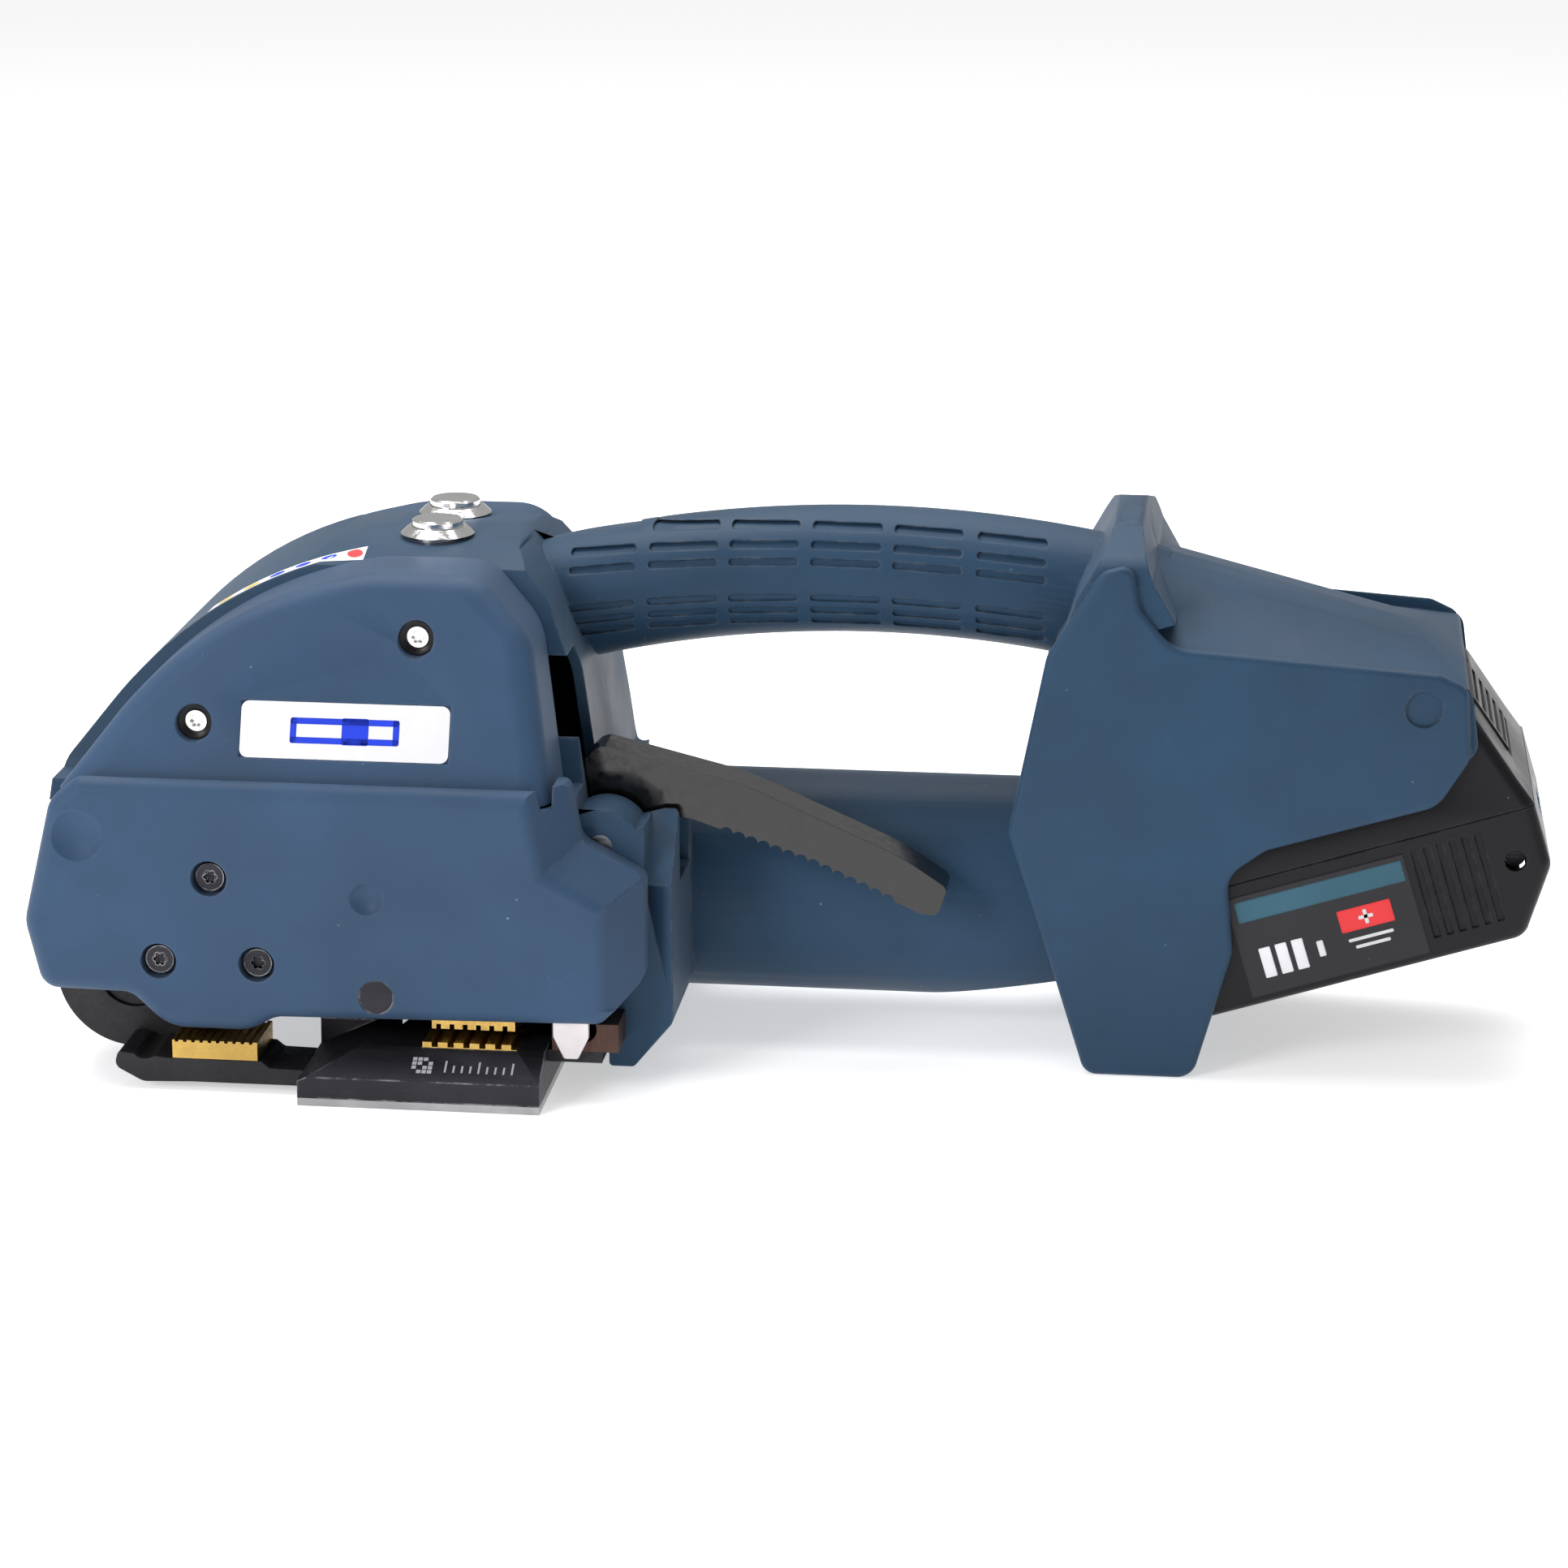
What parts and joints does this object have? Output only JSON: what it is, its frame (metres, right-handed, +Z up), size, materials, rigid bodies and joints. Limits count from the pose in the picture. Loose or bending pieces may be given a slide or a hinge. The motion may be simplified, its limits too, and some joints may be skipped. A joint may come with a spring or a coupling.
{
  "type": "battery strapping tool",
  "caption": "Hand-held battery tool that tensions, friction-welds and cuts plastic strap: dome-shaped head, arched grip, release lever, strap channel and slide-on battery.",
  "frame": {"origin": "centre of the wear plate's underside, which rests on the package", "axes": "+X towards the battery along the handle, +Y away from the strap side, +Z up"},
  "size_m": [0.3612, 0.132, 0.132],
  "materials": {
    "blue_shell": "fine textured moulding",
    "blue_cover": "fine textured moulding",
    "black_plastic": "textured moulding",
    "black_steel": "black oxide",
    "cast_metal": "black coated casting",
    "frame_metal": "machined",
    "steel": "ground",
    "bright_steel": "polished",
    "tin_plate": "titanium nitride coated teeth",
    "tongue_metal": "satin light grey",
    "bronze": "dark brown bronze",
    "lever_black": "gloss black",
    "nameplate_metal": "satin silver",
    "motor_can": "plain",
    "board_green": "circuit board",
    "cell_wrap": "wrapped cell",
    "label_film": "printed film",
    "panel_plastic": "translucent keypad",
    "belt_rubber": "toothed belt"
  },
  "bodies": {
    "tool": {"base_block": "black_steel", "battery_terminals": "black_plastic", "board_parts": "black_plastic", "board_posts": "frame_metal", "button_bezels": "bright_steel", "button_nuts": "steel", "control_board": "board_green", "cover_screws": "bright_steel", "cross_bearing": "steel", "cutter_holder": "frame_metal", "drive_belt": "belt_rubber", "eccentric_bearings": "steel", "far_cover": "blue_cover", "far_cover_screws": "black_steel", "far_shell": "blue_shell", "front_arm": "cast_metal", "guide_block": "bronze", "lever_pin": "steel", "lever_spring": "steel", "lower_cover_screws": "black_steel", "main_frame": "frame_metal", "motor_mounts": "black_plastic", "nameplate": "nameplate_metal", "near_lower_cover": "blue_cover", "near_shell": "blue_shell", "near_upper_cover": "blue_cover", "planet_gearbox": "motor_can", "rocker_pin": "black_steel", "spacer_block": "cast_metal", "strap_tongue": "tongue_metal", "tension_motor": "motor_can", "tension_tooth_plate": "tin_plate", "wear_plate": "steel", "weld_motor": "motor_can", "weld_tooth_plate": "tin_plate"},
    "lever": {"release_lever": "lever_black"},
    "rocker": {"rocker_arm": "cast_metal", "rocker_bearing": "steel", "middle_gear_pin": "steel"},
    "tension_wheel": {"tension_wheel": "steel", "tension_shaft": "steel", "tension_gear": "steel"},
    "middle_gear": {"middle_gear": "steel"},
    "pivot_gear": {"pivot_gear": "steel"},
    "cross_shaft": {"cross_shaft": "steel"},
    "motor_rotor": {"motor_pinion": "steel"},
    "weld_pulley": {"weld_motor_pulley": "steel"},
    "eccentric": {"eccentric_shaft": "steel"},
    "weld_head": {"weld_arm": "frame_metal", "weld_shoe": "tin_plate"},
    "cutter": {"cutter_blade": "steel"},
    "button_near": {"button_near": "bright_steel"},
    "button_far": {"button_far": "bright_steel"},
    "battery": {"battery_lower_case": "black_plastic", "battery_upper_case": "black_plastic", "battery_cells": "cell_wrap", "battery_panel": "panel_plastic", "battery_screw": "steel", "battery_label": "label_film"},
    "battery_latch": {"battery_latch": "black_plastic"}
  },
  "joints": [
    {"name": "lever_hinge", "type": "hinge", "parent": "tool", "child": "lever", "pos_m": [0.04, 0.015, 0.059], "axis": [0, -1, 0], "range_deg": [0, 22], "stiffness_Nm_per_rad": 0.6, "springref_deg": -20.05},
    {"name": "rocker_hinge", "type": "hinge", "parent": "tool", "child": "rocker", "pos_m": [-0.0112, 0, 0.0249], "axis": [0, 1, 0], "range_deg": [0, 3.3]},
    {"name": "wheel_spin", "type": "hinge", "parent": "rocker", "child": "tension_wheel", "pos_m": [-0.0515, -0.013, 0.039], "axis": [0, 1, 0], "continuous": true},
    {"name": "middle_gear_spin", "type": "hinge", "parent": "rocker", "child": "middle_gear", "pos_m": [-0.03135, 0.021, 0.03195], "axis": [0, 1, 0], "continuous": true},
    {"name": "pivot_gear_spin", "type": "hinge", "parent": "tool", "child": "pivot_gear", "pos_m": [-0.0112, 0.021, 0.0249], "axis": [0, 1, 0], "continuous": true},
    {"name": "cross_shaft_spin", "type": "hinge", "parent": "tool", "child": "cross_shaft", "pos_m": [0.008, 0.021, 0.035], "axis": [0, 1, 0], "continuous": true},
    {"name": "motor_spin", "type": "hinge", "parent": "tool", "child": "motor_rotor", "pos_m": [0.03, 0.053, 0.035], "axis": [1, 0, 0], "continuous": true},
    {"name": "weld_motor_spin", "type": "hinge", "parent": "tool", "child": "weld_pulley", "pos_m": [-0.022, 0.091, 0.062], "axis": [0, 1, 0], "continuous": true},
    {"name": "eccentric_spin", "type": "hinge", "parent": "tool", "child": "eccentric", "pos_m": [0.011, 0.053, 0.054], "axis": [0, 1, 0], "continuous": true},
    {"name": "weld_slide", "type": "slide", "parent": "tool", "child": "weld_head", "axis": [1, 0, 0], "range_m": [-0.0012, 0.0012], "stiffness_N_per_m": 500},
    {"name": "cutter_slide", "type": "slide", "parent": "tool", "child": "cutter", "axis": [0, 0, -1], "range_m": [0, 0.003], "stiffness_N_per_m": 200, "springref_m": -0.001},
    {"name": "button_near_press", "type": "slide", "parent": "tool", "child": "button_near", "axis": [0, 0, -1], "range_m": [0, 0.0015], "stiffness_N_per_m": 400, "springref_m": -0.001},
    {"name": "button_far_press", "type": "slide", "parent": "tool", "child": "button_far", "axis": [0, 0, -1], "range_m": [0, 0.0015], "stiffness_N_per_m": 400, "springref_m": -0.001},
    {"name": "battery_slide", "type": "slide", "parent": "tool", "child": "battery", "axis": [0.9537, 0, 0.3007], "range_m": [0, 0.11]},
    {"name": "latch_press", "type": "slide", "parent": "battery", "child": "battery_latch", "axis": [-0.9537, 0, -0.3007], "range_m": [0, 0.0016], "stiffness_N_per_m": 500, "springref_m": -0.001}
  ],
  "couplings": [
    {"joint": "rocker_hinge", "follows": "lever_hinge", "ratio": 0.15},
    {"joint": "motor_spin", "follows": "wheel_spin", "ratio": -1.2998},
    {"joint": "cross_shaft_spin", "follows": "wheel_spin", "ratio": -0.709},
    {"joint": "pivot_gear_spin", "follows": "wheel_spin", "ratio": 1},
    {"joint": "middle_gear_spin", "follows": "wheel_spin", "ratio": -0.7229},
    {"joint": "eccentric_spin", "follows": "weld_motor_spin", "ratio": 0.6667}
  ]
}
